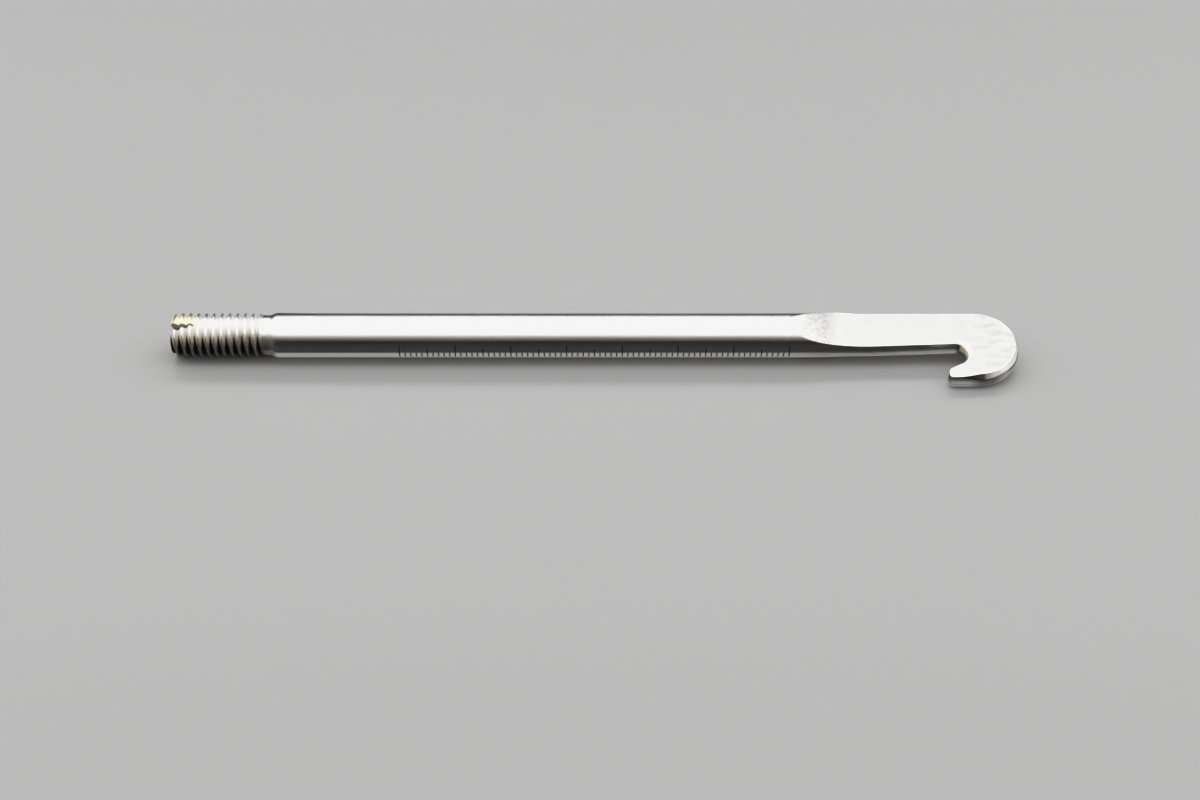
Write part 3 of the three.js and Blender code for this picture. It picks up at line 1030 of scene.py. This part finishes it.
def steel_roughness(g, on, marks, worn):
    """Brushed to a satin shine, and rougher where the steel is ground, stained or etched."""
    roughness = g.level(marks.hairline, *SHAFT_ROUGHNESS)
    roughness = g.level(on.flat, roughness, g.level(marks.hairline, *FLAT_ROUGHNESS))
    roughness = g.level(on.side, roughness, SIDE_ROUGHNESS)
    roughness = g.level(on.bevel, roughness, BEVEL_ROUGHNESS)
    roughness = g.level(on.thread, roughness, g.level(on.below_crest, CREST_ROUGHNESS, GROOVE_ROUGHNESS))
    roughness = g.level(on.throat_rim_highlight, roughness, RIM_ROUGHNESS)
    roughness = g.level(worn, roughness, STAIN_ROUGHNESS)
    return g.add(roughness, g.product(g.centred(marks.speck), SPECK_ROUGHNESS))


def steel_relief(g, on, marks):
    """Hairlines, shallow specks, and a grainy upper prong and thread."""
    lines = g.add(marks.hairline, g.product(marks.fine_line, 0.4))
    line_relief = g.bump(lines, g.level(on.flat, SHAFT_HAIRLINES, FLAT_HAIRLINES), HAIRLINE_DEPTH)
    grainy = g.larger(on.prong, g.product(on.thread, THREAD_SPECK_SHARE))
    speck_strength = g.add(g.product(grainy, SPECKS_ON_PRONG), SPECKS_EVERYWHERE)
    return g.bump(marks.speck, speck_strength, SPECK_DEPTH, line_relief)


def steel(resting):
    """Brushed stainless steel all along the rod, with a finish of its own for each way it was worked, and
    painted shade and highlights.
    """
    material, g, shader = new_material("polished_steel")
    at = rod_measures(g, resting)
    marks = surface_marks(g, at.place)
    on = finish_shares(g, at)
    stain = brown_stain(g, at, on, marks)
    scale = etched_scale(g, at)

    colour = milled_colour(g, at, on, marks)
    colour = hook_colour(g, on, marks, colour)
    colour = thread_colour(g, at, on, marks, colour)
    colour = g.colour(g.product(stain, 0.8), colour, BROWN)
    colour = g.colour(g.product(on.prong, g.rise(marks.speck, (0.35, 0.6))), colour, PALE_GOLD)
    colour = g.colour(g.product(scale, g.ramp(marks.grit, (0.25, 0.5), 0.75, 1.0)), colour, ETCH)

    g.put(shader.inputs["Base Color"], colour)
    g.put(shader.inputs["Metallic"], 1.0)
    g.put(shader.inputs["Roughness"], steel_roughness(g, on, marks, g.larger(stain, scale)))
    g.put(shader.inputs["Normal"], steel_relief(g, on, marks))
    return material


# ---- stage: floor, lights, surroundings and camera ---------------------------------------------

FLOOR_HALF_WIDTH = 2.0
FLOOR_DROP = 0.02 * MM
FLOOR_SEEN = (0.19, 0.19, 0.19, 1)
FLOOR_MIRRORED = (0.001, 0.001, 0.001, 1)
FLOOR_ROUGHNESS_SEEN = 0.45
FLOOR_ROUGHNESS_MIRRORED = 0.16
FLOOR_SHINE = 0.32

# The glow is painted light: an emission round the rod, hidden from the camera, that lights the steel's
# underside.
GLOW_COLOUR = (1.0, 0.97, 0.93, 1)
GLOW_STRENGTH = 0.4
GLOW_AT_THREAD = 0.16

# Bands of the floor's glow, in millimetres from the named edge of the rod.
GLOW_BEFORE_SHAFT = (-1.3, -0.5)
GLOW_BEFORE_HOOK = (-2.0, -1.1)
GLOW_LEFT_OF_FINGER = (-1.5, 0.0)
GAP_ENDS_RIGHT_OF_FINGER = (5.0, 6.5)
GAP_STARTS_BEHIND_HOOK = (2.0, 3.0)
GLOW_FILLS_AFTER_THREAD = (16.0, 19.0)
GLOW_PAST_HOOK = 1.2
GLOW_END_SOFT = 0.5


def from_edge(edge, band):
    """A band of millimetres from an edge, in metres."""
    return edge + band[0] * MM, edge + band[1] * MM


def floor_material():
    """Pale satin to the eye. The steel mirrors it as it would a dark, glossy table: nearly black, with a
    painted glow close round the rod, an emission that the camera doesn't see, which lights a bright strip
    along the steel's underside."""
    material, g, shader = new_material("pale_floor")
    seen = g.seen_directly()
    x, y, _ = g.axes(g.node("ShaderNodeNewGeometry").outputs["Position"])
    shaft_front = cad_high.y - 2 * SHAFT_RADIUS * MM
    hook_front = cad_low.y
    finger_left = cad_low.x + FINGER_END_X * MM

    near_shaft = g.rise(y, from_edge(shaft_front, GLOW_BEFORE_SHAFT))
    near_hook = g.product(
        g.rise(y, from_edge(hook_front, GLOW_BEFORE_HOOK)),
        g.rise(x, from_edge(finger_left, GLOW_LEFT_OF_FINGER)),
    )
    outside_gap = g.larger(
        g.rise(x, from_edge(finger_left, GAP_ENDS_RIGHT_OF_FINGER)),
        g.fall(y, from_edge(hook_front, GAP_STARTS_BEHIND_HOOK)),
    )
    near = g.larger(near_shaft, g.product(near_hook, outside_gap))
    near = g.product(near, g.ramp(x, from_edge(cad_low.x, GLOW_FILLS_AFTER_THREAD), GLOW_AT_THREAD, 1.0))
    near = g.product(near, g.within(x, (cad_low.x, cad_high.x + GLOW_PAST_HOOK * MM), GLOW_END_SOFT * MM))
    # Painted glow, seen only by mirrored and bounced rays.
    glow = g.product(near, g.remainder(seen), GLOW_STRENGTH)

    g.put(shader.inputs["Base Color"], g.colour(seen, FLOOR_MIRRORED, FLOOR_SEEN))
    g.put(shader.inputs["Roughness"], g.level(seen, FLOOR_ROUGHNESS_MIRRORED, FLOOR_ROUGHNESS_SEEN))
    g.put(shader.inputs["Specular IOR Level"], FLOOR_SHINE)
    g.put(shader.inputs["Emission Color"], GLOW_COLOUR)
    g.put(shader.inputs["Emission Strength"], glow)
    return material


def floor():
    half = FLOOR_HALF_WIDTH
    corners = [(-half, -half, 0), (half, -half, 0), (half, half, 0), (-half, half, 0)]
    piece = new_object("floor", corners, [(0, 1, 2, 3)])
    piece.location.z = -FLOOR_DROP
    piece.data.materials.append(floor_material())


PANEL_LENGTH = 3.2
CEILING_HEIGHT = 0.6
CEILING_FRONT = 34.5
WHITE = (1, 1, 1)

# Softboxes that make up the ceiling. Each runs between two elevations, as seen from the rod, from 0 at
# the front to 180 at the back, and the last number is how bright its face is.
CEILING_PANELS = (
    ("key", 78, 103, 4.8),
    ("back_key", 129, 137, 9.0),
    ("back_feather_low", 137, 148, 1.3),
    ("back_feather_far", 148, 162, 0.45),
    ("ceiling_front", CEILING_FRONT, 78, 1.5),
    ("ceiling_back", 103, 129, 1.35),
)

# Softboxes that hang below the ceiling's front edge: lower and upper height, brightness and colour.
FRONT_PANELS = (
    ("feather_high", 0.36, CEILING_HEIGHT, 0.55, (1, 0.88, 0.74)),
    ("feather_low", 0.14, 0.36, 0.14, (1, 0.84, 0.68)),
)

# Softboxes past each end of the rod, turned towards it.
END_PANEL_X = 1.65
END_PANEL_Y = 0.2
END_PANEL_Z = 0.3
END_PANEL_AIM_Z = 0.1
END_PANEL_SIZE = (1.6, 0.6)
END_PANEL_RADIANCE = 1.6
END_PANEL_COLOURS = ((-1, (1, 0.97, 0.92)), (1, (1, 0.9, 0.76)))


def area_light(name, location, target, size, radiance, colour):
    """A rectangular softbox facing its target. A face's power is its radiance times pi times its area."""
    data = bpy.data.lights.new(name, "AREA")
    data.shape = "RECTANGLE"
    data.size, data.size_y = size
    data.energy = radiance * math.pi * size[0] * size[1]
    data.color = colour
    light = bpy.data.objects.new(name, data)
    light.location = location
    light.rotation_euler = (Vector(target) - Vector(location)).to_track_quat("-Z", "Y").to_euler()
    bpy.context.scene.collection.objects.link(light)


def long_panel(name, start, end, radiance, colour):
    """A softbox as long as the stage's ceiling, between two (y, z) edges that run along the rod."""
    breadth = math.hypot(end[0] - start[0], end[1] - start[1])
    middle = Vector((0, (start[0] + end[0]) / 2, (start[1] + end[1]) / 2))
    backward = Vector((0, start[1] - end[1], end[0] - start[0]))
    area_light(name, middle, middle - backward, (PANEL_LENGTH, breadth), radiance, colour)


def over(elevation):
    """The (y, z) of the ceiling at an elevation."""
    return (-CEILING_HEIGHT / math.tan(math.radians(elevation)), CEILING_HEIGHT)


def lights():
    for name, start, end, radiance in CEILING_PANELS:
        long_panel(name, over(start), over(end), radiance, WHITE)
    front_y = over(CEILING_FRONT)[0]
    for name, bottom, top, radiance, colour in FRONT_PANELS:
        long_panel(name, (front_y, bottom), (front_y, top), radiance, colour)
    target = (0, END_PANEL_Y, END_PANEL_AIM_Z)
    for side, colour in END_PANEL_COLOURS:
        place = (side * END_PANEL_X, END_PANEL_Y, END_PANEL_Z)
        area_light("end_panel", place, target, END_PANEL_SIZE, END_PANEL_RADIANCE, colour)


BACKDROP_SEEN = (0.4, 0.4, 0.4, 1)
BACKDROP_MIRRORED = (0.008, 0.008, 0.008, 1)


def surroundings():
    """A dark room as far as the steel and the floor are concerned, behind a pale backdrop."""
    world = bpy.data.worlds.new("dark_room")
    world.use_nodes = True
    g = Graph(world.node_tree)
    colour = g.colour(g.seen_directly(), BACKDROP_MIRRORED, BACKDROP_SEEN)
    g.put(world.node_tree.nodes["Background"].inputs["Color"], colour)
    bpy.context.scene.world = world


WHITE_CEILING = (1.0, 0.915)
SHOULDER = ((0.6, 0.6), (0.85, 0.84))


def soften_whites():
    """Plain sRGB, with whites eased to a ceiling just under paper white."""
    view = bpy.context.scene.view_settings
    view.view_transform = "Standard"
    view.use_curve_mapping = True
    combined_curve = view.curve_mapping.curves[3]
    combined_curve.points[-1].location = WHITE_CEILING
    for place in SHOULDER:
        combined_curve.points.new(*place)
    view.curve_mapping.extend = "HORIZONTAL"
    view.curve_mapping.update()


CAMERA_DISTANCE = 0.4
CAMERA_ELEVATION = math.radians(37.4)
CAMERA_TILT_BELOW_ROD = math.radians(1.68)
CAMERA_SHIFT_X = 0.001
SENSOR_WIDTH = 36
FOCAL_LENGTH = 66.45
CLIP_START = 0.01


def camera():
    """Looks along +y and down at the rod, which lies a little above the middle of the picture."""
    rod_axis = Vector((CAMERA_SHIFT_X, cad_high.y - SHAFT_RADIUS * MM, SHAFT_RADIUS * MM))
    back = Vector((0, -math.cos(CAMERA_ELEVATION), math.sin(CAMERA_ELEVATION)))
    data = bpy.data.cameras.new("camera")
    data.sensor_width = SENSOR_WIDTH
    data.lens = FOCAL_LENGTH
    data.clip_start = CLIP_START
    piece = bpy.data.objects.new("camera", data)
    piece.location = rod_axis + CAMERA_DISTANCE * back
    piece.rotation_euler = (math.pi / 2 - CAMERA_ELEVATION - CAMERA_TILT_BELOW_ROD, 0, 0)
    bpy.context.scene.collection.objects.link(piece)
    bpy.context.scene.camera = piece


# ---- the scene ---------------------------------------------------------------------------------

rod = build_rod()
rod.data.materials.append(steel(resting_matrix()))
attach(rod, "root")
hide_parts("hook_rod")

floor()
lights()
surroundings()
camera()
soften_whites()
